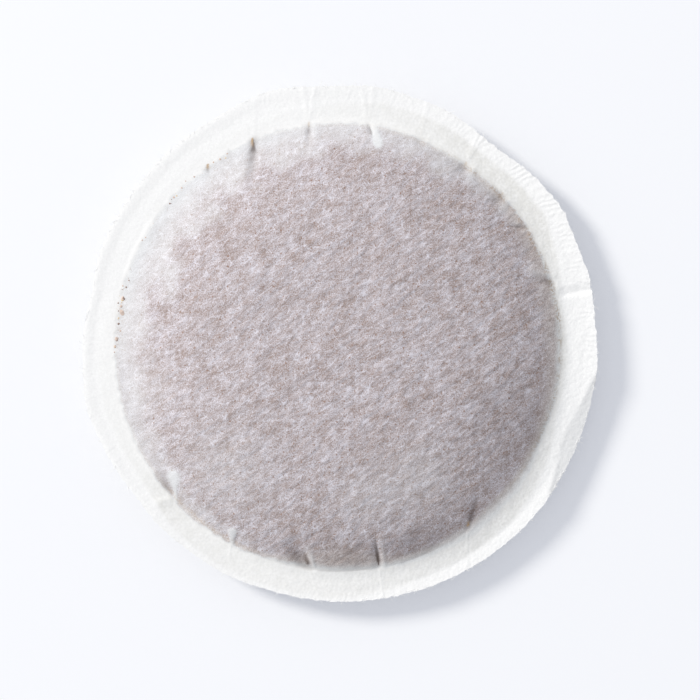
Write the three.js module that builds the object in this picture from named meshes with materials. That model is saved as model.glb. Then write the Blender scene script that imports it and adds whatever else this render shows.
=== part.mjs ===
// A one-cup coffee pad: a pillow of ground coffee between two round filter papers,
// which are welded to each other in a flat rim all the way around.
// Millimetres, +Z up. The pad lies on its belly, and the origin is under the middle of its rim.

import * as THREE from 'three';

// Driving dimensions
const pillowDiameter = 61;     // across the pillow, from seam to seam
const rimWidth = 4.5;          // of the welded rim, on average
const pillowShiftX = -0.1;     // from the middle of the paper to the middle of the filling
const pillowShiftY = -0.2;
const crownRise = 6;           // of the upper paper over the weld
const bellyDrop = 3.1;         // of the lower paper under the weld
const restDiameter = 30;       // of the flat that the pad lies on
const paperThickness = 0.12;
const weldGap = 0.02;          // that the crossing fibres leave between the papers
const coffeeGap = 0.3;         // between the loose coffee and either paper
const coffeeInset = 1.3;       // from the seam in to the coffee's feather edge

// Gathers: short folds at the seam, where the flat paper was drawn in over the coffee
const gatherAngles = [19, 32, 43, 55, 69, 82, 98, 113, 126, 221, 241, 261, 281, 307];
const gatherHalfWidth = 1.1;   // along the seam
const gatherReach = 5;         // from the seam in over the shoulder
const gatherPinch = 0.6;       // share of the paper's height that a fold takes at the seam
const creaseHeight = 0.25;     // of the crease that a fold leaves in the rim

// One stretch of the rim's edge is bent down
const bendStart = -50;         // degrees around the rim, from +X towards +Y
const bendEnd = -5;
const bendWidth = 1.6;         // from the outer edge in
const bendDrop = 0.7;

// Fineness and roundness of the surface
const plainColumns = 48;                      // steps around the pad, between the gathers
const slopeSteps = [0.36, 0.66, 0.86, 1];     // from the flat's edge to the coffee's edge
const crownFlatness = 3;                      // 2 is round on top, and higher is flatter
const shoulderPower = 0.85;                   // low is square-shouldered, 1 is a plain slope

// What follows from them
const pillowRadius = pillowDiameter / 2;
const rimRadius = pillowRadius + rimWidth;
const restRadius = restDiameter / 2;
const coffeeRadius = pillowRadius - coffeeInset;
const weldHeight = bellyDrop + paperThickness + weldGap / 2;

const toRadians = THREE.MathUtils.degToRad;

// Columns are the directions around the pad. Each gather has three: its two feet and its fold.
function makeColumns() {
  const halfGather = THREE.MathUtils.radToDeg(gatherHalfWidth / pillowRadius);
  const plainStep = 360 / plainColumns;
  const clearOfGathers = (angle) => gatherAngles.every((gather) => {
    const apart = Math.abs(THREE.MathUtils.euclideanModulo(angle - gather + 180, 360) - 180);
    return apart > halfGather + plainStep / 5;
  });
  const plain = Array.from({ length: plainColumns }, (_, index) => index * plainStep);
  const columns = plain.filter(clearOfGathers).map((angle) => ({ angle, fold: 0 }));
  for (const angle of gatherAngles) {
    columns.push({ angle: angle - halfGather, fold: 0 });
    columns.push({ angle, fold: 1 });
    columns.push({ angle: angle + halfGather, fold: 0 });
  }
  columns.sort((a, b) => a.angle - b.angle);
  return columns.map(({ angle, fold }) => ({ angle: toRadians(angle), fold, bend: bendShare(angle) }));
}

// How much of the bent edge's drop is reached in a direction: none at its ends, all at its middle.
function bendShare(angle) {
  const along = THREE.MathUtils.euclideanModulo(angle - bendStart, 360) / (bendEnd - bendStart);
  return along < 1 ? Math.sin(Math.PI * along) ** 2 : 0;
}

// Rings run outwards: over the pillow to the coffee's edge, then to the seam and across the rim.
function makeRings() {
  const slope = coffeeRadius - restRadius;
  const radii = [restRadius / 2, restRadius, ...slopeSteps.map((step) => restRadius + slope * step)];
  const pillowRings = radii.map((radius) => ({ radius, rim: 0, edge: 0 }));
  const rimRings = [
    { radius: pillowRadius, rim: 0, edge: 0 },
    { radius: pillowRadius, rim: 1 - bendWidth / rimWidth, edge: 0 },
    { radius: pillowRadius, rim: 1, edge: 1 },
  ];
  return { pillowRings, allRings: [...pillowRings, ...rimRings] };
}

// The filling sits a little off the paper's middle, so rim rings run from one circle to the other.
function planPoint(ring, column) {
  const cos = Math.cos(column.angle);
  const sin = Math.sin(column.angle);
  const x = THREE.MathUtils.lerp(pillowShiftX + ring.radius * cos, rimRadius * cos, ring.rim);
  const y = THREE.MathUtils.lerp(pillowShiftY + ring.radius * sin, rimRadius * sin, ring.rim);
  return [x, y];
}

// Height of the face where the two papers meet, with the creases and the bent edge of the rim.
function weldLevel(ring, column) {
  const creaseShare = ring.radius < pillowRadius ? 0 : 1 - ring.rim;
  return weldHeight + creaseHeight * column.fold * creaseShare - bendDrop * column.bend * ring.edge;
}

// What a gather leaves of the paper's height: it pinches the shoulder most at the seam.
function gatheredShare(ring, column) {
  const nearSeam = Math.max(0, 1 - (pillowRadius - ring.radius) / gatherReach);
  return 1 - gatherPinch * column.fold * nearSeam;
}

const bulge = (share) => Math.max(0, 1 - share ** crownFlatness) ** shoulderPower;

function upperPaperInside(ring, column) {
  const rise = crownRise * bulge(ring.radius / pillowRadius) * gatheredShare(ring, column);
  return weldLevel(ring, column) + weldGap / 2 + rise;
}

function lowerPaperInside(ring, column) {
  const pastFlat = Math.max(0, ring.radius - restRadius) / (pillowRadius - restRadius);
  const drop = bellyDrop * bulge(pastFlat) * gatheredShare(ring, column);
  return weldLevel(ring, column) - weldGap / 2 - drop;
}

// A closed round body between two heights over the same rings and columns. Its outer edge is a
// wall as high as the body is there, or a feather edge at the weld where the two faces meet.
function roundBody(rings, columns, topHeight, bottomHeight, featherEdge) {
  const positions = [];
  const triangles = [];
  const middle = { radius: 0, rim: 0, edge: 0 };

  function addPoint(ring, column, height) {
    positions.push(...planPoint(ring, column), height);
    return positions.length / 3 - 1;
  }

  function addFace(heightOf) {
    const centre = addPoint(middle, columns[0], heightOf(middle, columns[0]));
    const ringPoints = rings.map((ring) => columns.map((c) => addPoint(ring, c, heightOf(ring, c))));
    return { centre, ringPoints };
  }

  function addTriangle(a, b, c, facesUp) {
    triangles.push(...(facesUp ? [a, b, c] : [a, c, b]));
  }

  function fillFace({ centre, ringPoints }, facesUp) {
    columns.forEach((_, here) => {
      const next = (here + 1) % columns.length;
      addTriangle(centre, ringPoints[0][here], ringPoints[0][next], facesUp);
      for (let k = 1; k < ringPoints.length; k += 1) {
        const inner = ringPoints[k - 1];
        const outer = ringPoints[k];
        addTriangle(inner[here], outer[here], outer[next], facesUp);
        addTriangle(inner[here], outer[next], inner[next], facesUp);
      }
    });
  }

  const last = rings.length - 1;
  const atEdge = (heightOf) => (ring, column) => (
    featherEdge && ring === rings[last] ? weldLevel(ring, column) : heightOf(ring, column));
  const top = addFace(atEdge(topHeight));
  const bottom = addFace(atEdge(bottomHeight));
  if (featherEdge) {
    bottom.ringPoints[last] = top.ringPoints[last];
  }
  fillFace(top, true);
  fillFace(bottom, false);
  if (!featherEdge) {
    columns.forEach((_, here) => {
      const next = (here + 1) % columns.length;
      const upper = top.ringPoints[last];
      const lower = bottom.ringPoints[last];
      addTriangle(lower[here], lower[next], upper[next], true);
      addTriangle(lower[here], upper[next], upper[here], true);
    });
  }

  const geometry = new THREE.BufferGeometry();
  geometry.setAttribute('position', new THREE.Float32BufferAttribute(positions, 3));
  geometry.setIndex(triangles);
  geometry.computeVertexNormals();
  return geometry;
}

function namedMesh(name, geometry, look) {
  const mesh = new THREE.Mesh(geometry, new THREE.MeshStandardMaterial(look));
  mesh.name = name;
  return mesh;
}

const columns = makeColumns();
const { pillowRings, allRings } = makeRings();
const filterPaper = { color: 0xe9e7e4, roughness: 0.9, metalness: 0 };
const coffeeGrounds = { color: 0x4a2f1e, roughness: 0.95, metalness: 0 };

const upperPaper = roundBody(
  allRings,
  columns,
  (ring, column) => upperPaperInside(ring, column) + paperThickness,
  upperPaperInside,
  false,
);
const lowerPaper = roundBody(
  allRings,
  columns,
  lowerPaperInside,
  (ring, column) => lowerPaperInside(ring, column) - paperThickness,
  false,
);
const coffee = roundBody(
  pillowRings,
  columns,
  (ring, column) => upperPaperInside(ring, column) - coffeeGap,
  (ring, column) => lowerPaperInside(ring, column) + coffeeGap,
  true,
);

const coffeePad = new THREE.Group();
coffeePad.add(namedMesh('upper_filter_paper', upperPaper, filterPaper));
coffeePad.add(namedMesh('lower_filter_paper', lowerPaper, filterPaper));
coffeePad.add(namedMesh('ground_coffee', coffee, coffeeGrounds));

export default coffeePad;
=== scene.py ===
import math
import random

import bpy
import numpy as np
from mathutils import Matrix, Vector, noise


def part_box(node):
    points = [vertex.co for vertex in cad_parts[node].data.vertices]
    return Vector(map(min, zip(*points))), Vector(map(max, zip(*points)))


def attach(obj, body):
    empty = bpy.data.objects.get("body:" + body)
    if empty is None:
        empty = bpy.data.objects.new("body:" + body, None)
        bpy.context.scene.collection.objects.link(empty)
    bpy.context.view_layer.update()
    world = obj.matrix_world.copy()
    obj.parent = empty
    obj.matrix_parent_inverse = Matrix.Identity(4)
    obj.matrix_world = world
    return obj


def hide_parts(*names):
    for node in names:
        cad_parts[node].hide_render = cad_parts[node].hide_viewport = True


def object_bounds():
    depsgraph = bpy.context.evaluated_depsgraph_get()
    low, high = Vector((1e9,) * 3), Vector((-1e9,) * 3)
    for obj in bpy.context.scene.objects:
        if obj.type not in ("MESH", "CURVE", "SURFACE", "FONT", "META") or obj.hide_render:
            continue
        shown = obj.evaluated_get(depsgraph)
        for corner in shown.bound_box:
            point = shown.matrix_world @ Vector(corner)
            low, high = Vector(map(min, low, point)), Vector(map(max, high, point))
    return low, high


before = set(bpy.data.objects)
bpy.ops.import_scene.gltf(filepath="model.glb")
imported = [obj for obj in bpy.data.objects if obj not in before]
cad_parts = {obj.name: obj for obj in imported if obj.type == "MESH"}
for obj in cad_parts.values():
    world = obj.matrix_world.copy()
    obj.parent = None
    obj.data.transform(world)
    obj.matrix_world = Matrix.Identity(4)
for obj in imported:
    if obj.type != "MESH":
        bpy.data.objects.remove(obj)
cadLow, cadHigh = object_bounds()
mm = 0.001
print("frame loaded")

# what the frame says about the pad
paperLow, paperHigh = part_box("upper_filter_paper")
coffeeLow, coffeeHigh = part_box("ground_coffee")
rimRadius = (paperHigh[0] - paperLow[0]) / 2
pillowX = (coffeeLow[0] + coffeeHigh[0]) / 2
pillowY = (coffeeLow[1] + coffeeHigh[1]) / 2

paper = dict(
    thick=0.12 * mm,
    weldGap=0.02 * mm,  # between the two papers in the rim
    coffeeInset=1.3 * mm,  # from the seam in to the coffee's edge
    bellyDrop=3.1 * mm,  # of the lower paper under the weld
    restRadius=15 * mm,  # of the flat that the pad lies on
    crownFlatness=3,  # 2 is round on top, and higher is flatter
    shoulder=0.85,  # low is square-shouldered, 1 is a plain slope
    flatSide=73 * mm,  # the paper disc before it was drawn over the coffee
    # the mesh
    rings=104,  # from the middle to the rim's edge
    rimRings=23,  # of them in the rim
    seamTight=0.4,  # how much closer the rings lie at the seam
    crowd=1.7,  # how much closer the columns lie at a gather
    crowdSpread=2.4,  # degrees
    crowdFrom=(0.3, 0.85),  # shares of the pillow's radius
    fineSteps=8,  # for each degree
    sharpCorner=60,  # degrees, at the cut edge
    # lumps of the coffee: size (mm), height (mm), seed
    lumps=[(7, 0.16, 1.3), (2.6, 0.09, 5.2), (1.1, 0.03, 9.1)],
    lumpsUnder=0.4,  # share of the belly's slope where they are full
    # the pillow's foot
    foot=0.55,  # slope
    fillet=0.85,  # mm: how high its round is
    filletTight=0.6,  # the same, added where the paper is tightest
    filletSlack=0.5,  # and where it is slack
    sagReach=6,  # fillets: how high up slack paper sags
    tightAt=-50,  # degrees: where the paper is tightest
    tightSpread=30,
    slackAt=155,  # degrees: where it is slack
    slackSharp=1.15,
    slackOff=0.1,
    # the seam isn't quite round: how many waves around, phase, mm
    seamWaves=[(1, math.radians(-140), 0.2), (4, 0.7, 0.08)],
    wobble=0.14 * mm,
    wobbleSize=4 * mm,
)
pillowRadius = (coffeeHigh[0] - coffeeLow[0]) / 2 + paper["coffeeInset"]
rimWidth = rimRadius - pillowRadius
weldHeight = paper["bellyDrop"] + paper["thick"] + paper["weldGap"] / 2
crownRise = paperHigh[2] - weldHeight - paper["weldGap"] / 2 - paper["thick"]

# a gather: "at" is where it meets the seam and "runs" the way it points out, in degrees
# its lengths are in mm, and "Aside" is to the left of someone who looks out along it
plainGather = dict(
    # the dark slit, a painted shadow deep in the fold: its length, how far out its tip is, its half width
    # and where it is widest
    slit=2, tipOut=0, wide=0.2, widest=0.7, dark=0, fade=0,
    # golden crumbs at its tip
    gold=0, goldAside=0, goldLong=0.9,
    # the valley that the paper dips into, darkened with painted shade
    valley=3, valleyWide=0.55, valleyAside=0, valleyTurn=0, dip=0.3, paintedShade=0,
    # the ridge beside it, which is a leaf of paper if it has a flap
    ridge=0, ridgeAside=0, ridgeWide=0.45, ridgeLong=3, ridgeOut=0.5,
    flap=0, neck=0.6,
    # the fold that it leaves in the rim
    fold=0, foldWide=0.3, foldLean=1, foldSpread=0, foldTurn=0, foldLong=9,
)
gathers = [{**plainGather, **own} for own in (
    dict(at=112.3, runs=88, tipOut=-0.05, wide=0.43, widest=1, dark=0.95, fade=0.45,
        gold=0.8, goldAside=0.2, goldLong=1.3,
        valley=8, valleyWide=0.65, dip=0.35, paintedShade=0.5, fold=0.02),
    dict(at=125.8, runs=88, slit=1.1, dark=0.4, gold=0.85,
        valley=2.4, dip=0.22, paintedShade=0.15),
    dict(at=97.7, runs=90, slit=1.7, tipOut=0.2, widest=1, dark=0.25, gold=0.3,
        valley=3.6, valleyWide=0.4, dip=0.25, paintedShade=0.3,
        ridge=0.12, ridgeAside=-0.9, ridgeWide=0.6,
        fold=0.034, foldWide=0.38, foldSpread=0.16),
    dict(at=82.3, runs=104, slit=1.9, wide=0.12, dark=0.4,
        valley=2.2, valleyWide=0.3, dip=0.22, paintedShade=0.2,
        ridge=0.05, ridgeAside=-0.5, ridgeWide=0.7, ridgeLong=4.1, flap=1.1, neck=0.75,
        fold=0.034, foldWide=0.38, foldSpread=0.16, foldTurn=-12),
    dict(at=68.3, runs=80, valley=1.5, valleyWide=0.6, dip=0.18, paintedShade=0.2,
        ridge=0.09, ridgeAside=-0.95, ridgeWide=0.4, ridgeLong=1.8, fold=0.026),
    dict(at=55.1, runs=62, slit=1, wide=0.25, gold=0.3,
        valley=2.4, valleyWide=0.7, dip=0.25, paintedShade=0.25,
        ridge=0.14, ridgeAside=-1.3, ridgeWide=0.6, fold=0.045, foldSpread=0.1),
    dict(at=42.9, runs=48, slit=1, wide=0.3, dark=0.15, gold=0.2,
        valley=2.8, valleyWide=0.75, dip=0.25, paintedShade=0.4,
        ridge=0.14, ridgeAside=-1.4, ridgeWide=0.7, ridgeLong=3.2, fold=0.01),
    dict(at=31.5, runs=-4, slit=3.4, wide=0.13, dark=0.35, fade=0.5,
        valley=3.8, valleyWide=0.3, dip=0.2, paintedShade=0.2,
        ridge=0.1, ridgeAside=0.5, ridgeWide=0.35, ridgeLong=4, fold=0.01),
    dict(at=16, runs=-10, valley=3.2, dip=0.22, paintedShade=0.4,
        ridge=0.16, ridgeAside=1, ridgeWide=0.5, ridgeLong=4.5, fold=0.01),
    dict(at=305.1, runs=256, slit=4.6, tipOut=-0.35, wide=0.42, widest=0.3,
        dark=0.5, fade=0.6, gold=0.8, goldAside=-0.1,
        valley=5.2, valleyWide=0.6, dip=0.35, paintedShade=0.4,
        fold=0.035, foldWide=0.12, foldTurn=13),
    dict(at=280.3, runs=278, slit=4.3, tipOut=-0.1, wide=0.24, widest=0.2,
        dark=1, fade=0.7, valley=4.6, valleyWide=0.5, dip=0.4, paintedShade=0.35,
        ridge=0.12, ridgeAside=0.75, ridgeWide=0.5, ridgeLong=4.4, fold=0.03, foldWide=0.12),
    dict(at=262.4, runs=287, slit=2.6, tipOut=-0.1, wide=0.3, widest=0.3,
        dark=0.9, fade=0.8,
        valley=5.5, valleyWide=1.05, valleyAside=-0.4, valleyTurn=14, dip=0.52, paintedShade=0.64,
        ridge=0.2, ridgeAside=0.7, ridgeLong=3.4, fold=0.02, foldWide=0.12),
    dict(at=241.5, runs=264, valley=2.4, dip=0.05, paintedShade=0.08, valleyAside=0.6,
        ridge=0.1, ridgeWide=0.65, ridgeLong=2.2, ridgeOut=1, flap=0.9, neck=0.5,
        fold=0.035, foldWide=0.1, foldTurn=-6, foldLong=2.6),
    dict(at=223.3, runs=274,
        valley=4.4, valleyWide=0.9, valleyAside=-1.5, dip=0.2, paintedShade=0.75,
        ridge=0.12, ridgeWide=0.95, ridgeLong=4.3, ridgeOut=0.8, flap=0.85, neck=0.3,
        fold=0.13, foldWide=0.4, foldLean=2, foldTurn=-88, foldLong=3.4),
)]

# what all gathers share: each pair says where a change starts and where it is full
pleat = dict(
    reach=9,  # mm: no gather goes further in than this
    overSeam=0.6,  # mm: nor further out over the seam
    valleyFull=1.6,  # how soon a valley is at its full depth
    valleySeam=(-0.5, 0.3),  # mm inside the seam
    leafWidens=(0.25, 0.7),  # shares of a leaf's length
    leafNarrows=(0.75, 1),
    leafTaper=0.7,
    leafEnd=(1, 0.85),
    leafCrisp=5,  # how crisp its sides are
    ridgeFoot=0.5,  # a ridge's width at the seam, as a share
    ridgeFade=0.6,
    ridgeCrisp=2,
    ridgeLift=0.3,  # mm: a ridge this high is as pale as a leaf
    slitEnd=1.2,  # shares of a slit's length
    slitStops=(1.1, 0.8),
    slitNarrows=0.7,
    slitThinnest=0.02,  # mm
    slitSides=(1.5, 0.3),  # shares of its half width
    goldFull=0.3,  # share of the golden length
    goldSides=(1.6, 0.6),
    goldThinnest=0.12,  # mm
    foldRise=1,  # mm out from the seam
    foldApart=6,  # mm: the two sides of a fold part up to here
    foldFade=0.6,  # share of a fold's length
)

rim = dict(
    # where the cut edge leaves the round: degrees, mm out and spread in degrees
    edgeBumps=[
        (4, -0.12, 7), (16, 0.2, 6), (31, 0.35, 5), (38, 0.12, 6), (52, -0.8, 9), (82, 0.35, 7),
        (106, 0.7, 9), (152, -0.15, 12), (169, -0.55, 6), (194, 0.5, 7), (217, -0.35, 6),
        (232, -0.2, 9), (255, -0.15, 7), (312, 0.42, 34), (355, 0.15, 5),
    ],
    ragged=0.15 * mm,  # roughness of the cut edge
    raggedSize=0.45 * mm,
    scallop=0.14 * mm,  # of the cut edge, where the crimps are deep
    scallopSize=0.8 * mm,
    # the outer band stands up
    curlFrom=0.66,  # share of the rim's width where it starts
    curlUneven=0.05,
    curlPatch=5 * mm,
    curlUp=0.13 * mm,  # at the most
    curlFacing=-22,  # degrees: where it does
    curlLeast=0.45,  # on the other side, as a share
    # on the other side it first rises and then rolls down at the cut edge
    rollSide=(0.55, 0.85),  # how far round to that side
    rollFrom=0.52,  # shares of the rim's width
    rollTop=0.9,
    rollEnd=1.04,
    rollHigh=0.052 * mm,
    rollDown=0.06 * mm,
    rumpleLeast=0.4,  # how rough the rim is on that side, as a share
    rumpleSeam=(0.2, -0.6),  # mm inside the seam, where it gets rough
    # the welded inner band, greyed with painted shade: the shadow beneath seen through the thin paper, and
    # the shade beside a fold near 222 degrees: degrees, share of the rim's width where it ends, and how grey
    # it is
    shadedWeldBand=[
        (0, 0.14, 1), (12, 0.1, 0.6), (22, 0.35, 0.8), (32, 0.52, 1.15), (45, 0.55, 1.1), (60, 0.6, 0.85),
        (80, 0.6, 0.45), (100, 0.4, 0.2), (165, 0.2, 0.1), (185, 0.5, 0.2), (212, 0.45, 0.4), (222, 0.6, 1),
        (229, 0.75, 0.65), (240, 0.85, 0.55), (270, 0.9, 0.5), (290, 0.65, 0.65), (315, 0.64, 0.85),
        (332, 0.4, 0.7), (342, 0.15, 0.6),
    ],
    weldSoft=0.08,  # share of the rim's width
    # slow rise and fall of the rim: how many waves around, phase, share of the height
    waves=[(5, 0.8, 0.5), (11, 2.2, 0.3), (23, 0, 0.175)],
    waveHigh=0.06 * mm,
    waveFull=0.9,  # share of the rim's width
    # fine ridges pressed across the outer band
    crimps=255,
    crimpHigh=0.019 * mm,
    crimpAskew=17,  # degrees: how far they turn from straight out
    crimpFrom=-4,  # degrees: where they are deep
    crimpTo=58,
    crimpFade=8,
    crimpLeast=0.2,  # how deep they are elsewhere, as a share
    crimpBand=(0.45, 0.7),  # shares of the rim's width where they start
    crimpMean=0.75,  # their depth is uneven
    crimpUneven=0.5,
    crimpPatch=4 * mm,
    crimpDrift=[(23, 0, 1.6), (41, 1, 1.2)],  # their spacing too: waves around, phase, strength
    crimpStray=5,
    crimpGaps=(-0.32, 0.05),
    crimpGapSize=1.6,  # mm
    # one stretch of the edge is bent down: two fold lines meet at a kink, in mm over the pad
    bendStart=(34.1, -5.6),
    bendKink=(30.5, -12.7),
    bendEnd=(28.9, -19.0),
    bendSlope=0.22,
    bendFlat=0.6,  # mm past the line
    droop=0.4 * mm,  # of the inner band, where the paper is tightest
    # a low lip at the pillow's foot
    lipAt=154,  # degrees
    lipReach=11,
    lipOuter=(-0.525, -0.175),  # mm inside the seam
    lipInner=(3, 0),
    lipHigh=0.05 * mm,
    # a crease right across the rim, in mm over the pad
    creaseAt=(31.5, 6.9),
    creaseRuns=10,  # degrees
    creaseDeep=0.22 * mm,
    creaseWide=1.2 * mm,
    creaseSteep=0.45,  # share of its width that its steep side takes
    creaseAcross=(0.02, 0.3),  # shares of the rim's width
)


def setMode(mode):
    bpy.ops.object.mode_set(mode=mode)


def addObject(name, data):
    obj = bpy.data.objects.new(name, data)
    bpy.context.scene.collection.objects.link(obj)
    return obj


def deselect():
    bpy.ops.object.select_all(action="DESELECT")


def pointsOf(obj):
    flat = np.empty(len(obj.data.vertices) * 3)
    obj.data.vertices.foreach_get("co", flat)
    return flat[0::3], flat[1::3], flat[2::3]


def movePoints(obj, x, y, z):
    obj.data.vertices.foreach_set("co", np.stack([x, y, z], axis=1).ravel())
    obj.data.update()


def smooth(low, high, value):
    share = np.clip((value - low) / (high - low), 0, 1)
    return share * share * (3 - 2 * share)


def bell(apart, spread):  # 1 in the middle
    return np.exp(-(apart / spread) ** 2)


def angleApart(angles, middle):
    return (angles - middle + 180) % 360 - 180


def bellAround(angles, middle, spread):
    return bell(angleApart(angles, middle), spread)


def patch(plan, px, py, size):  # a round patch in mm over the pad
    return bell(np.hypot(plan["x"] / mm - px, plan["y"] / mm - py), size)


def fromTable(angles, table, column=1):  # a table whose first column is degrees around the pad
    columns = np.array(table).T
    return np.interp(angles, columns[0], columns[column], period=360)


def humps(plan, size, seed):  # soft noise from -1 to 1 over the pad, with humps about this size
    points = zip((plan["x"] / size).tolist(), (plan["y"] / size).tolist())
    return np.array([noise.noise(Vector((px, py, seed))) for px, py in points])


def onRing(angles, radius):
    turn = np.radians(angles)
    return {"x": np.cos(turn) * radius, "y": np.sin(turn) * radius}


def swell(angles, waves):  # how many waves around, phase, height
    turn = np.radians(angles)
    return sum(high * np.sin(count * turn + phase) for count, phase, high in waves)


# the paper's grid, as a disc: squares become rings, and the columns crowd together at the gathers

def crowdColumns(angles):
    fine = np.linspace(0, 360, paper["fineSteps"] * 360 + 1)
    density = np.ones_like(fine)
    for gather in gathers:
        density += paper["crowd"] * bellAround(fine, gather["at"], paper["crowdSpread"])
    steps = np.concatenate([[0], np.cumsum((density[1:] + density[:-1]) / 2)])
    return np.interp(angles, steps / steps[-1] * 360, fine)


def planOf(obj):
    gridX, gridY, _ = pointsOf(obj)
    ring = np.maximum(abs(gridX), abs(gridY))
    wide = np.maximum(ring, 1e-9)
    sideways = abs(gridX) >= abs(gridY)
    angle = np.select(
        [sideways & (gridX >= 0), sideways, gridY >= 0],
        [45 * gridY / wide, 180 - 45 * gridY / wide, 90 - 45 * gridX / wide],
        270 + 45 * gridX / wide,
    ) % 360
    seamShare = 1 - paper["rimRings"] / paper["rings"]
    inward = np.clip(ring / seamShare, 0, 1)
    across = np.clip((ring - seamShare) / (1 - seamShare), 0, 1)
    angle = angle + smooth(*paper["crowdFrom"], inward) * (crowdColumns(angle) - angle)
    seamRadius = pillowRadius + seamWander(angle)
    tight = paper["seamTight"]
    fromMiddle = seamRadius * ((1 + tight) * inward - tight * inward ** 2)
    cos, sin = np.cos(np.radians(angle)), np.sin(np.radians(angle))
    edge = rimRadius + outlineWander(angle)
    x = (pillowX + fromMiddle * cos) * (1 - across) + edge * cos * across
    y = (pillowY + fromMiddle * sin) * (1 - across) + edge * sin * across
    fromSeam = seamRadius - fromMiddle - across * rimWidth
    return {"x": x, "y": y, "angle": angle, "share": fromMiddle / seamRadius, "across": across,
            "fromMiddle": fromMiddle, "fromSeam": fromSeam}


def seamWander(angle):  # how far the seam leaves the round
    wobble = paper["wobble"] * humps(onRing(angle, pillowRadius), paper["wobbleSize"], seed=6.4)
    return swell(angle, paper["seamWaves"]) * mm + wobble


def outlineWander(angle):  # the cut edge isn't quite round, and it is ragged
    wander = np.zeros_like(angle)
    for at, out, spread in rim["edgeBumps"]:
        wander += out * mm * bellAround(angle, at, spread)
    edge = onRing(angle, rimRadius)
    scallops = rim["scallop"] * crimped(angle) * humps(edge, rim["scallopSize"], seed=9.6)
    return wander + scallops + rim["ragged"] * humps(edge, rim["raggedSize"], seed=3.7)


def crimped(angle):  # 1 where the crimps are deep
    middle = (rim["crimpFrom"] + rim["crimpTo"]) / 2
    half = (rim["crimpTo"] - rim["crimpFrom"]) / 2
    return smooth(half + rim["crimpFade"], half - rim["crimpFade"], abs(angleApart(angle, middle)))


def pastLine(plan, start, end):  # millimetres out past a line over the pad
    dx, dy = end[0] - start[0], end[1] - start[1]
    length = math.hypot(dx, dy)
    return (-dy * (plan["x"] / mm - start[0]) + dx * (plan["y"] / mm - start[1])) / length


def facing(angle):  # 1 on the side where the outer band stands up most, 0 on the other
    return 0.5 + 0.5 * np.cos(np.radians(angle - rim["curlFacing"]))


def alongGather(plan, gather, turn=0):  # mm out along the gather from the seam, and to its left
    at, runs = math.radians(gather["at"]), math.radians(gather["runs"] + turn)
    dx = plan["x"] - pillowX - pillowRadius * math.cos(at)
    dy = plan["y"] - pillowY - pillowRadius * math.sin(at)
    along = (dx * math.cos(runs) + dy * math.sin(runs)) / mm
    aside = (-dx * math.sin(runs) + dy * math.cos(runs)) / mm
    return along, aside


def rimCurl(plan, foldAt, bent):  # how the outer band stands up, and rolls down on the other side
    angle, across = plan["angle"], plan["across"]
    outer = np.clip((across - foldAt) / (1 - foldAt), 0, 1)
    curl = rim["curlUp"] * outer * (rim["curlLeast"] + (1 - rim["curlLeast"]) * facing(angle))
    curl = curl * (1 - smooth(0, rim["bendFlat"], bent))
    rolled = rim["rollHigh"] * smooth(rim["rollFrom"], rim["rollTop"], across)
    rolled = rolled - rim["rollDown"] * smooth(rim["rollTop"], rim["rollEnd"], across)
    return curl + smooth(*rim["rollSide"], 1 - facing(angle)) * rolled


def rimCrease(plan):
    runs = math.radians(rim["creaseRuns"])
    dx, dy = plan["x"] - rim["creaseAt"][0] * mm, plan["y"] - rim["creaseAt"][1] * mm
    below = (dx * math.sin(runs) - dy * math.cos(runs)) / rim["creaseWide"]
    crease = np.clip(1 + below, 0, 1) * smooth(rim["creaseSteep"], 0, below)
    return rim["creaseDeep"] * crease * smooth(*rim["creaseAcross"], plan["across"]) * (plan["x"] > 0)


def rimLevel(plan):  # height of the face where the two papers meet
    angle, across, fromSeam = plan["angle"], plan["across"], plan["fromSeam"] / mm
    inRim = across > 0
    past = np.minimum(
        pastLine(plan, rim["bendStart"], rim["bendKink"]),
        pastLine(plan, rim["bendKink"], rim["bendEnd"]),
    )
    bent = np.clip(past, 0, None) * inRim
    foldAt = rim["curlFrom"] + rim["curlUneven"] * humps(plan, rim["curlPatch"], seed=5.5)
    level = weldHeight + rimCurl(plan, foldAt, bent)
    level = level + rim["waveHigh"] * smooth(0, rim["waveFull"], across) * swell(angle, rim["waves"])
    level = level - rim["bendSlope"] * bent * mm
    level = level - rim["droop"] * tightness(angle) * np.clip(across / foldAt, 0, 1)
    for gather in gathers:
        along, aside = alongGather(plan, gather, gather["foldTurn"])
        apart = gather["foldSpread"] * np.clip(along, 0, pleat["foldApart"])
        foldWide = gather["foldWide"] * np.where(aside > 0, gather["foldLean"], 1)
        fold = bell(abs(aside) - apart, foldWide) * smooth(0, pleat["foldRise"], along)
        fold = fold * smooth(gather["foldLong"], pleat["foldFade"] * gather["foldLong"], along)
        level = level + gather["fold"] * mm * fold * inRim
    lip = smooth(rim["lipReach"], rim["lipReach"] / 2, abs(angleApart(angle, rim["lipAt"])))
    lip = lip * smooth(*rim["lipOuter"], fromSeam) * smooth(*rim["lipInner"], fromSeam)
    return level + rim["lipHigh"] * lip - rimCrease(plan)


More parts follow.
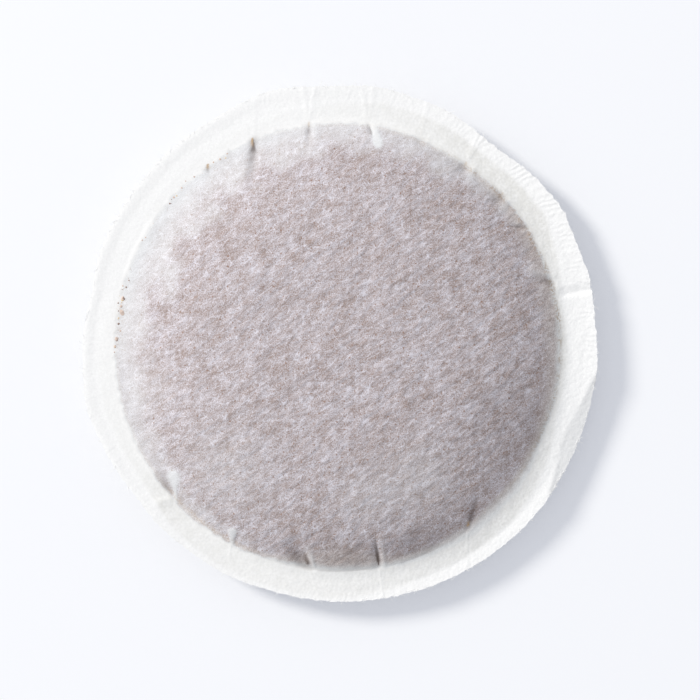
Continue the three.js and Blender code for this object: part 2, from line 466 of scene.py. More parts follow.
def gatherMoves(plan):  # what the gathers do: height of the paper, how the coffee shows in them, and painted shade in their slits and valleys
    height = np.zeros_like(plan["x"])
    slit, gold, paintedShade, lifted = height.copy(), height.copy(), height.copy(), height.copy()
    for gather in gathers:
        along, aside = alongGather(plan, gather)
        inward = -along
        near = (abs(along) < pleat["reach"]) * (along < pleat["overSeam"])
        valleyAlong, fromValley = alongGather(plan, gather, gather["valleyTurn"])
        valley = near * bell(fromValley - gather["valleyAside"], gather["valleyWide"])
        valley = valley * np.clip(pleat["valleyFull"] * (1 + valleyAlong / gather["valley"]), 0, 1)
        valley = valley * smooth(*pleat["valleySeam"], plan["fromSeam"] / mm)
        # painted shade along the valley
        paintedShade = np.maximum(paintedShade, gather["paintedShade"] * valley)

        reach = np.clip(inward / gather["ridgeLong"], 0, 1)
        if gather["flap"]:  # a leaf of paper, widest near its inner end
            ridgeWide = gather["neck"] + (1 - gather["neck"]) * smooth(*pleat["leafWidens"], reach)
            ridgeWide = ridgeWide * (1 - pleat["leafTaper"] * smooth(*pleat["leafNarrows"], reach))
            crest = smooth(*pleat["leafEnd"], reach)
            crisp = pleat["leafCrisp"]
        else:  # a soft ridge that fades inwards
            ridgeWide = pleat["ridgeFoot"] + reach
            crest = (1 - reach) ** pleat["ridgeFade"]
            crisp = pleat["ridgeCrisp"]
        offRidge = abs(aside - gather["ridgeAside"]) / (gather["ridgeWide"] * ridgeWide)
        ridge = near * np.exp(-offRidge ** crisp) * crest * smooth(gather["ridgeOut"], 0, along)
        lifted = np.maximum(lifted, ridge * max(gather["flap"], gather["ridge"] / pleat["ridgeLift"]))
        height += gather["ridge"] * ridge - gather["dip"] * valley

        # the slit: a painted shadow in the crease of the gather
        fromTip = (inward + gather["tipOut"]) / gather["slit"]
        insideTip = fromTip > 0
        narrower = pleat["slitNarrows"] * smooth(gather["widest"], pleat["slitEnd"], fromTip)
        flame = smooth(0, gather["widest"], fromTip) * (1 - narrower)
        halfWidth = np.maximum(gather["wide"] * flame, pleat["slitThinnest"])
        core = smooth(*pleat["slitSides"], abs(aside) / halfWidth) * insideTip
        core = core * smooth(*pleat["slitStops"], fromTip)
        slit = np.maximum(slit, gather["dark"] * core * (1 - gather["fade"] * np.clip(fromTip, 0, 1)))
        goldFull = pleat["goldFull"] * gather["goldLong"]
        tip = smooth(gather["goldLong"], goldFull, fromTip * gather["slit"]) * insideTip
        goldWide = np.maximum(halfWidth, pleat["goldThinnest"])
        rimOfSlit = smooth(*pleat["goldSides"], abs(aside - gather["goldAside"]) / goldWide)
        gold = np.maximum(gold, gather["gold"] * tip * rimOfSlit)
    return height * mm, slit, gold, paintedShade, lifted


def tightness(angle):
    return bellAround(angle, paper["tightAt"], paper["tightSpread"])


def slackness(angle):
    towards = np.cos(np.radians(angle - paper["slackAt"]))
    return np.clip(paper["slackSharp"] * towards - paper["slackOff"], 0, 1)


def roundFoot(rise, angle):  # mm over the weld, with a round where the pillow meets the rim
    loose = slackness(angle)
    fillet = paper["fillet"] + paper["filletTight"] * tightness(angle) + paper["filletSlack"] * loose
    rise = rise - fillet * loose * smooth(paper["sagReach"] * fillet, 0, rise)
    return np.maximum(rise, 0) + np.maximum(fillet - abs(rise), 0) ** 2 / (4 * fillet)


def bulge(share):
    return np.clip(1 - share ** paper["crownFlatness"], 0, 1) ** paper["shoulder"]


def pastRest(fromMiddle):  # 0 on the flat that the pad lies on, 1 at the seam
    return np.clip(fromMiddle - paper["restRadius"], 0, None) / (pillowRadius - paper["restRadius"])


# how the coffee shows through the paper, with painted light and shade on it, in mm from the seam
stains = dict(
    # a band by the seam is paler, most on the upper left, the side towards the lamp: partly slack paper
    # hiding the coffee, partly painted light
    band=10,
    bandLeast=0.8,
    bandUneven=0.5,
    bandEnd=(0.7, 0.28),  # shares of the band
    white=0.35,  # how much it hides
    whiteUneven=0.35,
    patch=3 * mm,  # size of its patches
    seamBand=3,  # and right at the seam it hides more
    seamWhite=0.25,
    # where that is: degrees, share
    slackAndLitSide=[
        (0, 0.1), (30, 0.05), (42, 0.3), (48, 0.5), (58, 0.65), (72, 0.6), (90, 0.66), (112, 0.95), (132, 1),
        (160, 1), (176, 0.95), (188, 0.62), (212, 0.58), (222, 0.42), (250, 0.2), (270, 0.1), (300, 0),
    ],
    # places painted a little paler: mm over the pad, size and share
    pale=[(-15.5, -17, 6, 0.12), (3.5, -20.5, 4, 0.1), (10.5, -17.8, 4.5, 0.14), (-26, -6, 3.2, 0.15)],
    liftHides=0.6,  # how much a lifted leaf of paper hides
    # how far inside the seam the stain is full: degrees, mm
    inside=[
        (0, 0.9), (18, 0.75), (30, 0.35), (250, 0.35), (262, 1), (285, 1), (296, 1.4), (306, 1.3),
        (318, 1.1), (336, 1), (350, 0.7),
    ],
    outside=0.25,  # it is gone this far outside
    outsideTight=2.0,  # the same where the paper is tightest
    uneven=0.3,  # how uneven its edge is
    unevenSize=0.9 * mm,
    ragged=0.2,  # the same, in small steps
    raggedSize=0.4 * mm,
    # where the stain stops short of the seam: degrees, mm
    short=[
        (0, 0.38), (15, 0.22), (30, 0.05), (60, 0.15), (90, 0.05), (205, 0), (217, -0.2), (228, -0.35),
        (240, -0.15), (252, 0.1), (272, 0.25), (290, 0.15), (310, 0.08), (325, 0.12), (340, 0.33),
    ],
    # painted shade, where the pillow is darker by the seam on its lower side: degrees, share
    shade=[
        (0, 0), (250, 0), (262, 0.16), (270, 0.25), (276, 0.34), (282, 0.12), (291, 0.36), (300, 0.14),
        (315, 0), (328, 0), (336, 0.22), (346, 0),
    ],
    shadeBand=(6, 2.5),
    # and more painted shade elsewhere: mm over the pad, size and share
    dusky=[(22, -10, 6.5, 0.17)],
    # where the paper is drawn taut: degrees and spread, how far in
    taut=[(270, 13, 4.3), (10, 35, 3.1)],
    tautLeast=0.7,
    tautFull=0.25,  # share of that
    # golden fringes along the seam: degrees and spread, strength, how far in and half width
    fringes=[(15, 48, 1, 0.35, 0.36), (232, 14, 0.7, 0.35, 0.36), (173, 8, 0.3, 0.9, 1)],
    fringeMean=0.6,
    fringeSpots=1.1 * mm,
)


def coffeeBehind(plan, lifted):  # how far the coffee shows through the paper
    angle, fromSeam = plan["angle"], plan["fromSeam"] / mm
    spots = humps(plan, stains["patch"], seed=8.1)
    # paler on the side towards the lamp: partly slack paper hiding the coffee, partly painted light
    loose = fromTable(angle, stains["slackAndLitSide"])
    band = stains["bandLeast"] + stains["band"] * loose * (1 + stains["bandUneven"] * spots)
    white = stains["white"] * (1 + stains["whiteUneven"] * spots)
    paler = white * smooth(*stains["bandEnd"], fromSeam / band)
    paler = loose * (paler + stains["seamWhite"] * smooth(stains["seamBand"], 0, fromSeam))
    # patches painted paler
    for px, py, size, share in stains["pale"]:
        paler = paler + share * patch(plan, px, py, size)
    further = (stains["outsideTight"] - stains["outside"]) * tightness(angle)
    uneven = stains["uneven"] * humps(plan, stains["unevenSize"], seed=4.4)
    uneven = uneven + stains["ragged"] * humps(plan, stains["raggedSize"], seed=5.2)
    inside = fromTable(angle, stains["inside"])
    short = fromTable(angle, stains["short"])
    stain = smooth(-stains["outside"] - further, inside, fromSeam + uneven - short)
    return np.clip(stain * (1 - paler) * (1 - stains["liftHides"] * lifted), 0, 1)


# painted shade on the pillow by the seam and in patches
def shading(plan):  # where the pillow is darker
    shade = fromTable(plan["angle"], stains["shade"])
    shade = shade * smooth(*stains["shadeBand"], plan["fromSeam"] / mm)
    for px, py, size, share in stains["dusky"]:
        shade = np.maximum(shade, share * patch(plan, px, py, size))
    return shade * (plan["across"] <= 0)


def tautness(plan):
    drawn = stains["tautLeast"]
    for at, spread, wide in stains["taut"]:
        drawn = drawn + wide * bellAround(plan["angle"], at, spread)
    return smooth(drawn, drawn * stains["tautFull"], plan["fromSeam"] / mm)


def goldenFringe(plan):
    fringe = np.zeros_like(plan["x"])
    for at, spread, strength, inside, half in stains["fringes"]:
        reach = bellAround(plan["angle"], at, spread)
        fringe += strength * reach * bell(plan["fromSeam"] / mm - inside, half)
    spots = humps(plan, stains["fringeSpots"], seed=7.7)
    return fringe * np.clip(stains["fringeMean"] + spots, 0, 1)


# painted shade in the rim's inner band
def shadedWeldBand(plan):
    end = fromTable(plan["angle"], rim["shadedWeldBand"])
    grey = fromTable(plan["angle"], rim["shadedWeldBand"], column=2)
    return grey * smooth(end + rim["weldSoft"], end - rim["weldSoft"], plan["across"])


def crimpDepth(plan):
    spots = humps(plan, rim["crimpPatch"], seed=2.9)
    uneven = np.clip(rim["crimpMean"] + rim["crimpUneven"] * spots, 0, 1)
    deep = rim["crimpLeast"] + (1 - rim["crimpLeast"]) * crimped(plan["angle"])
    return deep * smooth(*rim["crimpBand"], plan["across"]) * uneven


def roughness(plan):
    rough = rim["rumpleLeast"] + (1 - rim["rumpleLeast"]) * facing(plan["angle"])
    return rough * smooth(*rim["rumpleSeam"], plan["fromSeam"] / mm)


def splitOutwards(obj):  # into triangles whose long sides point out from the grid's middle
    bpy.context.tool_settings.mesh_select_mode = (False, False, True)
    for face in obj.data.polygons:
        face.select = face.center.x * face.center.y < 0
    setMode("EDIT")
    bpy.ops.mesh.quads_convert_to_tris(quad_method="FIXED_ALTERNATE")
    bpy.ops.mesh.select_all(action="INVERT")
    bpy.ops.mesh.quads_convert_to_tris(quad_method="FIXED")
    setMode("OBJECT")


def makePaper(name, isUpper):
    deselect()
    cells = paper["rings"] * 2
    bpy.ops.mesh.primitive_grid_add(x_subdivisions=cells, y_subdivisions=cells, size=2)
    obj = bpy.context.object
    obj.name = name
    splitOutwards(obj)
    plan = planOf(obj)
    level = rimLevel(plan)
    lumps, slit, gold, paintedShade, lifted = gatherMoves(plan)
    nearEdge = np.sqrt(bulge(plan["share"]))
    for size, high, seed in paper["lumps"]:
        lumps += high * mm * humps(plan, size * mm, seed) * nearEdge
    layer = paper["weldGap"] / 2 + paper["thick"]
    onPillow = plan["across"] <= 0
    outside = paper["foot"] * plan["fromSeam"]
    if isUpper:
        rise = np.where(onPillow, crownRise * bulge(plan["share"]), outside) + lumps
        z = level + layer + roundFoot(rise / mm, plan["angle"]) * mm
    else:
        past = pastRest(plan["fromMiddle"])
        drop = np.where(onPillow, paper["bellyDrop"] * bulge(np.minimum(past, 1)), outside)
        drop = drop + lumps * smooth(0, paper["lumpsUnder"], past)
        z = np.maximum(level - layer - roundFoot(drop / mm, plan["angle"]) * mm, 0)
    movePoints(obj, plan["x"], plan["y"], z)
    if not isUpper:
        setMode("EDIT")
        bpy.ops.mesh.select_all(action="SELECT")
        bpy.ops.mesh.flip_normals()
        setMode("OBJECT")
    looks = {
        "coffeeBehind": coffeeBehind(plan, lifted),
        "taut": tautness(plan),
        # painted shade in the rim's inner band
        "shadedWeldBand": shadedWeldBand(plan),
        # painted shadow in the slits
        "slit": slit,
        "goldTip": gold,
        "fringe": goldenFringe(plan),
        # painted shade in the valleys and on the pillow by the seam
        "paintedShade": np.maximum(paintedShade, shading(plan)),
        "crimp": crimpDepth(plan),
        "rumple": roughness(plan),
    }
    for key, values in looks.items():
        attribute = obj.data.attributes.new(key, "FLOAT", "POINT")
        attribute.data.foreach_set("value", values.astype(np.float32))
    shell = obj.modifiers.new("thickness", "SOLIDIFY")
    shell.thickness = paper["thick"]
    shell.offset = -1
    bpy.ops.object.modifier_apply(modifier=shell.name)
    bpy.ops.object.shade_smooth()
    setMode("EDIT")
    bpy.ops.mesh.select_all(action="DESELECT")
    bpy.ops.mesh.edges_select_sharp(sharpness=math.radians(paper["sharpCorner"]))
    bpy.ops.mesh.mark_sharp()
    setMode("OBJECT")
    return obj


# shader maths

class Wire:
    def __init__(self, tree, socket=None):
        self.tree = tree
        self.socket = socket

    def node(self, kind, settings=None, inputs=None, out=0):
        made = self.tree.nodes.new(kind)
        for key, value in (settings or {}).items():
            setattr(made, key, value)
        for key, value in (inputs or {}).items():
            if isinstance(value, Wire):
                self.tree.links.new(value.socket, made.inputs[key])
            else:
                made.inputs[key].default_value = value
        return Wire(self.tree, made.outputs[out])

    def beside(self, out):  # another output of the same node
        return Wire(self.tree, self.socket.node.outputs[out])

    def math(self, operation, *values):
        return self.node("ShaderNodeMath", {"operation": operation}, dict(enumerate(values)))

    def __add__(self, other):
        return self.math("ADD", self, other)

    def __sub__(self, other):
        return self.math("SUBTRACT", self, other)

    def __rsub__(self, other):
        return self.math("SUBTRACT", other, self)

    def __mul__(self, other):
        return self.math("MULTIPLY", self, other)

    def between(self, low, high):  # 0 below low, 1 above high, smooth in between
        return self.node(
            "ShaderNodeMapRange",
            {"interpolation_type": "SMOOTHSTEP"},
            {"Value": self, "From Min": low, "From Max": high},
        )

    def blend(self, first, second, how="MIX"):  # from the first colour to the second as this goes to 1
        look = {"data_type": "RGBA", "blend_type": how}
        return self.node("ShaderNodeMix", look, {0: self, 6: first, 7: second}, out=2)

    def bump(self, distance, strength=1, **more):  # a surface with this height
        inputs = {"Strength": strength, "Distance": distance, "Height": self, **more}
        return self.node("ShaderNodeBump", inputs=inputs)


def newMaterial(name, rough, shine=0.5):
    material = bpy.data.materials.new(name)
    material.use_nodes = True
    shader = material.node_tree.nodes["Principled BSDF"]
    shader.inputs["Roughness"].default_value = rough
    shader.inputs["Specular IOR Level"].default_value = shine
    return material, Wire(material.node_tree), shader


def link(wire, shader, socketName):
    wire.tree.links.new(wire.socket, shader.inputs[socketName])


fibreLook = dict(
    # soft clouds in the felt: size (mm), how many times longer, turn (degrees), strength
    clouds=[
        (0.13, 1.5, 40, 0.85), (0.12, 1.5, 120, 0.75), (0.17, 2.4, 38, 0.25), (0.3, 2.4, 36, 0.34),
        (0.55, 1.8, 34, 0.3), (1.3, 1.5, 27, 0.46), (3.2, 1.3, 25, 0.2), (8, 1, 0, 0.15),
        (0.4, 9, 2, 0.2), (0.5, 9, 91, 0.18),
    ],
    # threads: size of their curls (mm), how many times longer, turn (degrees), strength
    threads=[
        (1.3, 2.8, 42, 0.4), (1.1, 2.6, 26, 0.36), (1.2, 2.6, 63, 0.32), (1.3, 2.0, 110, 0.24),
        (1.1, 2.0, 155, 0.28), (1.0, 1.5, 0, 0.22),
    ],
    threadThin=0.03,
    threadMean=0.07,
    breakSize=0.8,  # of the breaks in a thread, as a share of its curls
    breaks=(-0.06, 0.08),
    contrast=0.9,
    contrastLeast=0.4,  # share of it where no coffee shows
    # relief in the felt: size (mm), how many times longer, turn (degrees) and height (mm)
    relief=[(0.22, 2.5, 40, 0.012), (0.45, 2.3, 36, 0.068), (0.8, 1.9, 32, 0.1), (1.7, 1.6, 28, 0.13)],
    reliefLeast=0.12,  # share of it where no coffee shows
    reliefTaut=0.2,  # share of it that taut paper loses
    # relief in the rim, in the same way
    rumple=[(0.25, 1.2, 0, 0.018), (0.5, 1.2, 60, 0.028), (1.1, 1.2, 120, 0.042)],
    # grain of the white paper, and mottling of the painted shade in its inner band, in the way of the clouds
    grain=[(0.2, 1, 0, 0.9), (0.4, 1, 0, 0.7)],
    weldShadeGrain=[(1.5, 1, 0, 0.6), (0.35, 1, 0, 0.8)],
    weldShadeMean=0.75,
    gap=(0.349, 0.272, 0.25, 1),
    fibre=(0.726, 0.704, 0.769, 1),
    tautGap=(0.445, 0.38, 0.362, 1),
    tautFibre=(0.775, 0.71, 0.675, 1),
    tautShare=0.75,
    white=(0.98, 0.98, 0.98, 1),
    whiteGap=(0.908, 0.908, 0.908, 1),
    veil=(0.96, 0.995, 1, 1),
    veilGap=(0.83, 0.883, 0.915, 1),
    veilFrom=(0.05, 0.4),  # how far the coffee shows
    # grey of the painted shade in the rim's inner band
    weld=(0.80, 0.795, 0.775, 1),
    # painted shade, multiplied in, for the gathers' valleys and the pillow by the seam
    paintedShade=(0.365, 0.333, 0.325, 1),
    # painted shadow in the gathers' slits
    slit=(0.10, 0.07, 0.055, 1),
    gold=(0.52, 0.33, 0.15, 1),
    fringe=(0.44, 0.31, 0.20, 1),
    dotSize=0.3,  # mm: the fringe is in dots
    dots=(-0.06, 0.08),
    dotShare=0.65,
    betweenDots=0.12,
    rust=(0.27, 0.135, 0.075, 1),
    speckSize=0.34,  # mm: and the rust is in specks
    specks=(0.28, 0.36),
    speckShare=0.65,
    rough=0.9,
    shine=0.2,
    # mm from one seed's noise to the next
    seedStep=(7.3, 5.1),
)


def filterPaper():
    look = fibreLook
    material, paint, shader = newMaterial("filterPaper", look["rough"], look["shine"])
    place = paint.node("ShaderNodeTexCoord", out="Object")

    def painted(name):
        return paint.node("ShaderNodeAttribute", {"attribute_name": name}, out="Fac")

    def cloud(size, longer=1, turn=0, seed=0):  # soft noise about 0: humps of this size in mm
        stepX, stepY = look["seedStep"]
        coords = paint.node(
            "ShaderNodeMapping",
            {"vector_type": "TEXTURE"},
            {
                "Vector": place,
                "Rotation": (0, 0, math.radians(turn)),
                "Location": (seed * stepX * mm, seed * stepY * mm, 0),
                "Scale": (size * longer * mm, size * mm, mm),
            },
        )
        flat = {"noise_dimensions": "2D"}
        return paint.node("ShaderNodeTexNoise", flat, {"Vector": coords, "Scale": 1, "Detail": 0}) - 0.5

    def layered(rows, seed):  # clouds over each other
        total = 0
        for row, (size, longer, turn, strength) in enumerate(rows):
            total = cloud(size, longer, turn, seed + row) * strength + total
        return total

    def thread(size, longer, turn, seed):  # 1 on thin curling lines, broken here and there
        line = paint.math("ABSOLUTE", cloud(size, longer, turn, seed)).between(look["threadThin"], 0)
        return line * cloud(size * look["breakSize"], seed=seed + 40).between(*look["breaks"])

    taut = painted("taut")
    behind = painted("coffeeBehind")
    wobble = layered(look["clouds"], seed=0)
    for row, (size, longer, turn, strength) in enumerate(look["threads"]):
        wobble = (thread(size, longer, turn, row + 20) - look["threadMean"]) * strength + wobble
    strong = behind * (1 - look["contrastLeast"]) + look["contrastLeast"]
    tone = wobble * strong * look["contrast"] + 0.5
    loose = tone.blend(look["gap"], look["fibre"])
    drawn = tone.blend(look["tautGap"], look["tautFibre"])
    specks = cloud(look["speckSize"], seed=31).between(*look["specks"])
    loose = (specks * look["speckShare"]).blend(loose, look["rust"])
    overCoffee = (taut * look["tautShare"]).blend(loose, drawn)
    white = (layered(look["grain"], seed=54) + 0.5).blend(look["whiteGap"], look["white"])
    # painted shade in the rim's inner band
    weldShade = painted("shadedWeldBand") * (layered(look["weldShadeGrain"], seed=52) + look["weldShadeMean"])
    white = weldShade.blend(white, look["weld"])
    veil = tone.blend(look["veilGap"], look["veil"])
    white = behind.between(*look["veilFrom"]).blend(white, veil)
    colour = behind.blend(white, overCoffee)
    dots = cloud(look["dotSize"], seed=33).between(*look["dots"])
    dotted = painted("fringe") * (dots * look["dotShare"] + look["betweenDots"])
    colour = dotted.blend(colour, look["fringe"])
    # painted shade in the valleys and by the seam
    colour = painted("paintedShade").blend(colour, look["paintedShade"], "MULTIPLY")
    # painted shadow in the slits
    colour = painted("slit").blend(colour, look["slit"])
    colour = painted("goldTip").blend(colour, look["gold"])
    link(colour, shader, "Base Color")

    x = paint.node("ShaderNodeSeparateXYZ", inputs={0: place})
    y = x.beside("Y")
    far = paint.math("SQRT", x * x + y * y) * (1 / rimRadius)
    around = paint.math("ARCTAN2", y, x) + far * math.tan(math.radians(rim["crimpAskew"]))
    stray = cloud(rim["crimpGapSize"], seed=17) * rim["crimpStray"]
    for waves, phase, strength in rim["crimpDrift"]:
        stray = paint.math("SINE", around * waves + phase) * strength + stray
    ridges = paint.math("SINE", around * rim["crimps"] + stray)
    ridges = ridges * cloud(rim["crimpGapSize"], seed=18).between(*rim["crimpGaps"])
    pressed = (ridges * painted("crimp")).bump(rim["crimpHigh"])
    relief = layered(look["relief"], seed=60)
    relief = relief * (behind * behind * (1 - look["reliefLeast"]) + look["reliefLeast"])
    relief = relief * (1 - taut * look["reliefTaut"])
    relief = relief + layered(look["rumple"], seed=70) * painted("rumple")
    link(relief.bump(mm, Normal=pressed), shader, "Normal")
    return material


# papers

paperMaterial = filterPaper()
upperPaper = makePaper("upperPaper", True)
lowerPaper = makePaper("lowerPaper", False)
for piece, node in ((upperPaper, "upper_filter_paper"), (lowerPaper, "lower_filter_paper")):
    piece.data.materials.append(paperMaterial)
    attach(piece, "root")
    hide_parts(node)
print("papers made:", len(upperPaper.data.polygons), "faces each")

# coffee

coffee = dict(
    gap=0.3 * mm,  # to either paper
    slump=0.35 * mm,  # the loose coffee lies this much lower on top
    edgeIn=0.1 * mm,
    edgeSteep=3,
    thinnest=0.02 * mm,
    around=160,  # steps of the mesh
    up=72,
    grain=0.10 * mm,  # roughness of the heap
    grainSize=0.8 * mm,
    # colours of the grains, and of the chaff between them
    grainsPerMm=1.6,
    dark=(0.035, 0.016, 0.009, 1),
    light=(0.16, 0.075, 0.032, 1),
    chaff=(0.42, 0.25, 0.10, 1),
    chaffPerMm=1.3,
    chaffFrom=(0.62, 0.72),
    chaffShare=0.6,
    bump=0.8,
    bumpHigh=0.2 * mm,
    rough=0.85,
)


def coffeeGrounds():
    material, paint, shader = newMaterial("coffeeGrounds", coffee["rough"])
    place = paint.node("ShaderNodeTexCoord", out="Object")
    inMm = {"Vector": place, "Scale": (mm, mm, mm)}
    coords = paint.node("ShaderNodeMapping", {"vector_type": "TEXTURE"}, inMm)
    cells = {"Vector": coords, "Scale": coffee["grainsPerMm"]}
    grains = paint.node("ShaderNodeTexVoronoi", {"feature": "F1"}, cells, out="Color")
    roast = paint.node("ShaderNodeSeparateColor", inputs={0: grains}).blend(coffee["dark"], coffee["light"])
    flakes = {"Vector": coords, "Scale": coffee["chaffPerMm"], "Detail": 2}
    chaff = paint.node("ShaderNodeTexNoise", inputs=flakes).between(*coffee["chaffFrom"])
    link((chaff * coffee["chaffShare"]).blend(roast, coffee["chaff"]), shader, "Base Color")
    high = 1 - grains.beside("Distance")
    link(high.bump(coffee["bumpHigh"], coffee["bump"]), shader, "Normal")
    return material


deselect()
bpy.ops.mesh.primitive_uv_sphere_add(segments=coffee["around"], ring_count=coffee["up"], radius=1)
grounds = bpy.context.object
grounds.name = "grounds"
ballX, ballY, ballZ = pointsOf(grounds)
heapRadius = pillowRadius - paper["coffeeInset"] - coffee["edgeIn"]
fromMiddle = np.hypot(ballX, ballY) * heapRadius
heap = {
    "x": pillowX + ballX * heapRadius,
    "y": pillowY + ballY * heapRadius,
    "fromSeam": pillowRadius - fromMiddle,
}
heapAngle = np.degrees(np.arctan2(ballY, ballX))
pinched = np.minimum(gatherMoves(heap)[0], 0)
rise = crownRise * bulge(fromMiddle / pillowRadius) + pinched
top = roundFoot(rise / mm, heapAngle) * mm - coffee["gap"] - coffee["slump"]
drop = paper["bellyDrop"] * bulge(pastRest(fromMiddle)) + pinched
under = coffee["gap"] - roundFoot(drop / mm, heapAngle) * mm
rough = coffee["grain"] * humps(heap, coffee["grainSize"], seed=2.2)
lift = np.where(
    ballZ > 0,
    np.maximum(top + rough, coffee["thinnest"]),
    np.minimum(under + abs(rough), -coffee["thinnest"]),
)
taper = np.clip(abs(ballZ) * coffee["edgeSteep"], 0, 1)
movePoints(grounds, heap["x"], heap["y"], weldHeight + lift * taper)
bpy.ops.object.shade_smooth()
grounds.data.materials.append(coffeeGrounds())
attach(grounds, "root")
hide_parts("ground_coffee")
print("coffee made")

# crumbs of coffee that got into the seam, on the paper

crumbs = dict(
    # the big ones: degrees around, mm out from the seam, mm across
    placed=[
        (167.8, -0.5, 0.6), (169.8, -0.5, 0.4), (171.5, -0.8, 0.72), (171.0, -0.6, 0.35),
        (173.0, -0.4, 0.25), (174.4, -0.5, 0.35), (176.2, -0.85, 0.28), (178.3, -0.4, 0.55),
        (180.3, -0.2, 0.4), (162.8, -0.6, 0.22), (164.6, 0, 0.22), (164.7, -0.5, 0.25),
        (140, -0.41, 0.25), (138.1, -0.29, 0.3), (137.3, -0.45, 0.22), (134.9, -0.19, 0.25),
        (133, 0.12, 0.2), (130.6, -0.19, 0.25), (124.4, -0.2, 0.22), (122.5, -0.39, 0.3),
        (121.1, -0.66, 0.2), (120.2, -0.24, 0.22),
    ],
    # stretches of fine ones: from and to in degrees, how many
    scattered=[(118, 152, 14), (158, 186, 22)],
    out=-0.25,  # mm out from the seam, and the spread of that
    outSpread=0.2,
    smallest=0.08,  # mm across
    largest=0.2,
    flat=0.45,
    lumpy=0.45,
    lumpSize=0.4,  # share of a crumb
    mottle=0.9 * mm,  # size of the colours on them
    dark=(0.32, 0.23, 0.20, 1),
    pale=(0.68, 0.55, 0.48, 1),
    paleFrom=(0.38, 0.52),
    gold=(0.74, 0.58, 0.32, 1),
    goldFrom=(0.58, 0.66),
    rough=0.85,
)


def paleCrumbs():
    material, paint, shader = newMaterial("paleCrumbs", crumbs["rough"])
    place = paint.node("ShaderNodeTexCoord", out="Object")
    mottle = {"Vector": place, "Scale": 1 / crumbs["mottle"], "Detail": 1}
    mottled = paint.node("ShaderNodeTexNoise", inputs=mottle)
    rust = mottled.between(*crumbs["paleFrom"]).blend(crumbs["dark"], crumbs["pale"])
    link(mottled.between(*crumbs["goldFrom"]).blend(rust, crumbs["gold"]), shader, "Base Color")
    return material


dice = random.Random(11)
straightDown = Vector((0, 0, -1))
grains = list(crumbs["placed"])
for start, end, count in crumbs["scattered"]:
    for _ in range(count):
        size = crumbs["smallest"] + (crumbs["largest"] - crumbs["smallest"]) * dice.random() ** 2
        grains.append((dice.uniform(start, end), dice.gauss(crumbs["out"], crumbs["outSpread"]), size))
deselect()
pieces = []
for at, out, size in grains:
    turn = math.radians(at)
    far = pillowRadius + float(seamWander(np.array([at % 360.0]))[0]) + out * mm
    spot = Vector((pillowX + far * math.cos(turn), pillowY + far * math.sin(turn), cadHigh[2] + mm))
    _, where, _, _ = upperPaper.ray_cast(spot, straightDown)
    bpy.ops.mesh.primitive_ico_sphere_add(subdivisions=2, radius=size * mm / 2, location=where)
    crumb = bpy.context.object
    for corner in crumb.data.vertices:
        lump = noise.noise(corner.co / (crumbs["lumpSize"] * size * mm) + spot / mm)
        corner.co *= 1 + crumbs["lumpy"] * lump
        corner.co.z *= crumbs["flat"]
    pieces.append(crumb)
for crumb in pieces:
    crumb.select_set(True)
bpy.context.view_layer.objects.active = pieces[0]
bpy.ops.object.join()
seamCrumbs = bpy.context.object
seamCrumbs.name = "seamCrumbs"
bpy.ops.object.transform_apply()
seamCrumbs.data.materials.append(paleCrumbs())
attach(seamCrumbs, "root")
print("crumbs made:", len(pieces))

# loose fibres along the cut edge

fibres = dict(
    count=300,
    thick=0.045 * mm,
    longest=1.1 * mm,
    shortest=0.3 * mm,
    steps=5,  # of the mesh along a fibre
    rootIn=0.25 * mm,  # from the cut edge in
    lean=(0.5, 1.5),  # radians from straight out, to either side
    slope=0.1,
    curl=1.2,  # radians
    ahead=0.6,  # share of its length before it curls
    pull=0.3,  # share of its length
    rootPull=0.4,
)
threads = bpy.data.curves.new("edgeFibres", "CURVE")
threads.dimensions = "3D"
threads.bevel_depth = fibres["thick"] / 2
threads.bevel_resolution = 0
threads.resolution_u = fibres["steps"]
for _ in range(fibres["count"]):
    turn = dice.uniform(0, 2 * math.pi)
    far = rimRadius + float(outlineWander(np.array([math.degrees(turn) % 360]))[0]) - fibres["rootIn"]
    root = Vector((math.cos(turn) * far, math.sin(turn) * far, cadHigh[2]))
    hit, where, _, _ = upperPaper.ray_cast(root, straightDown)
    if not hit:
        continue
    lean = turn + dice.choice((-1, 1)) * dice.uniform(*fibres["lean"])
    length = dice.uniform(fibres["shortest"], fibres["longest"])
    strand = threads.splines.new("BEZIER")
    strand.bezier_points.add(1)
    ahead = Vector((math.cos(lean), math.sin(lean), dice.uniform(-fibres["slope"], fibres["slope"])))
    curled = Vector((
        math.cos(lean + dice.uniform(-fibres["curl"], fibres["curl"])),
        math.sin(lean + dice.uniform(-fibres["curl"], fibres["curl"])),
        0,
    ))
    first, last = strand.bezier_points
    first.co = where
    first.handle_left = where - ahead * length * fibres["pull"]
    first.handle_right = where + ahead * length * fibres["rootPull"]
    last.co = where + (ahead * fibres["ahead"] + curled * (1 - fibres["ahead"])) * length
    last.handle_left = last.co - curled * length * fibres["pull"]
    last.handle_right = last.co + curled * length * fibres["pull"]
edgeFibres = addObject("edgeFibres", threads)
deselect()
edgeFibres.select_set(True)
bpy.context.view_layer.objects.active = edgeFibres
bpy.ops.object.convert(target="MESH")
edgeFibres = bpy.context.object
edgeFibres.data.materials.append(paperMaterial)
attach(edgeFibres, "root")
print("edge fibres made")

# stage, camera and light

stage = dict(
    floorSide=3.0,
    floorColour=(0.953, 0.95, 0.93, 1),
    floorRough=0.9,
    floorShine=0.1,
    floorGlow=0.24,  # share of the floor that shows as plain white
    glowColour=(0.93, 0.985, 1.2, 1),
    lens=100,
    sensor=36,
    clipNear=0.01,
    pixelsAcross=700,
    rimMiddle=(339.5, 343.9),  # pixels, where the rim's middle shows
    rimPixels=256.9,  # pixels, the rim's radius
    keyFrom=149,  # degrees around, where the light comes from
    keyHigh=30.5,  # degrees up
    keyAway=2.0,
    keySize=0.52,
    keyWatts=33,
    keyColour=(1, 0.975, 0.937),
    skyColour=(0.962, 0.985, 1.024, 1),
    skyStrength=0.595,
)

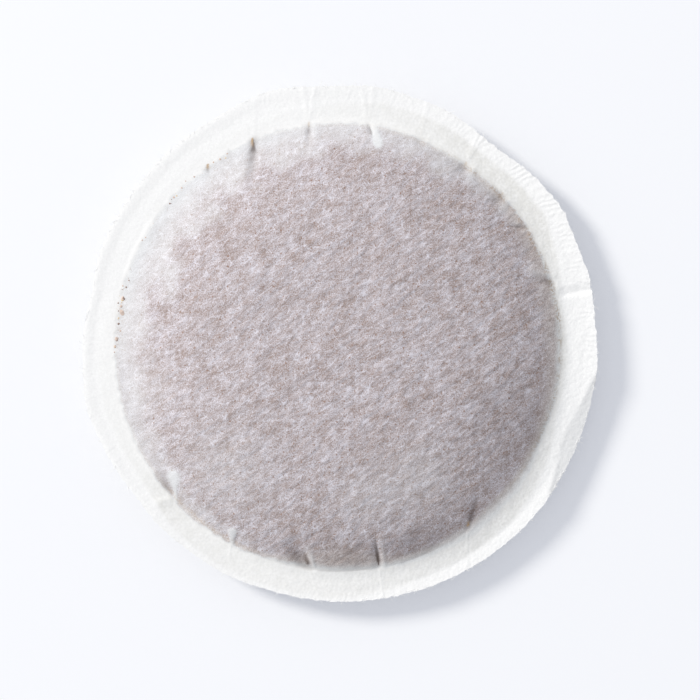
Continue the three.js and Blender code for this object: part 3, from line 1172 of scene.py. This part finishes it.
deselect()
bpy.ops.mesh.primitive_plane_add(size=stage["floorSide"])
floor = bpy.context.object
floor.name = "floor"
floorLook = newMaterial("palePaperFloor", stage["floorRough"], stage["floorShine"])
floorMaterial, floorPaint, floorShader = floorLook
floorShader.inputs["Base Color"].default_value = stage["floorColour"]
lightPath = floorPaint.node("ShaderNodeLightPath", out="Is Camera Ray")
seen = lightPath + lightPath.beside("Is Glossy Ray") + lightPath.beside("Is Transmission Ray")
plainWhite = floorPaint.node("ShaderNodeEmission", inputs={"Color": stage["glowColour"]})
shaded = Wire(floorPaint.tree, floorShader.outputs[0])
mixed = {0: seen * stage["floorGlow"], 1: shaded, 2: plainWhite}
floorMix = floorPaint.node("ShaderNodeMixShader", inputs=mixed)
link(floorMix, floorMaterial.node_tree.nodes["Material Output"], "Surface")
floor.data.materials.append(floorMaterial)

pixel = rimRadius / stage["rimPixels"]
half = stage["pixelsAcross"] / 2
away = half * pixel * stage["lens"] / (stage["sensor"] / 2)
cameraData = bpy.data.cameras.new("camera")
cameraData.lens = stage["lens"]
cameraData.sensor_width = stage["sensor"]
cameraData.clip_start = stage["clipNear"]
camera = addObject("camera", cameraData)
camera.location = (
    (half - stage["rimMiddle"][0]) * pixel,
    (stage["rimMiddle"][1] - half) * pixel,
    weldHeight + away,
)
bpy.context.scene.camera = camera

keyData = bpy.data.lights.new("key", "AREA")
keyData.shape = "DISK"
keyData.size = stage["keySize"]
keyData.energy = stage["keyWatts"]
keyData.color = stage["keyColour"]
key = addObject("key", keyData)
keyTurn, keyUp = math.radians(stage["keyFrom"]), math.radians(stage["keyHigh"])
toKey = Vector((math.cos(keyTurn) * math.cos(keyUp), math.sin(keyTurn) * math.cos(keyUp), math.sin(keyUp)))
key.location = toKey * stage["keyAway"]
key.rotation_euler = toKey.to_track_quat("Z", "Y").to_euler()

world = bpy.data.worlds.new("softSky")
bpy.context.scene.world = world
world.use_nodes = True
sky = world.node_tree.nodes["Background"]
sky.inputs["Color"].default_value = stage["skyColour"]
sky.inputs["Strength"].default_value = stage["skyStrength"]
bpy.context.scene.view_settings.view_transform = "Standard"
print("stage set")
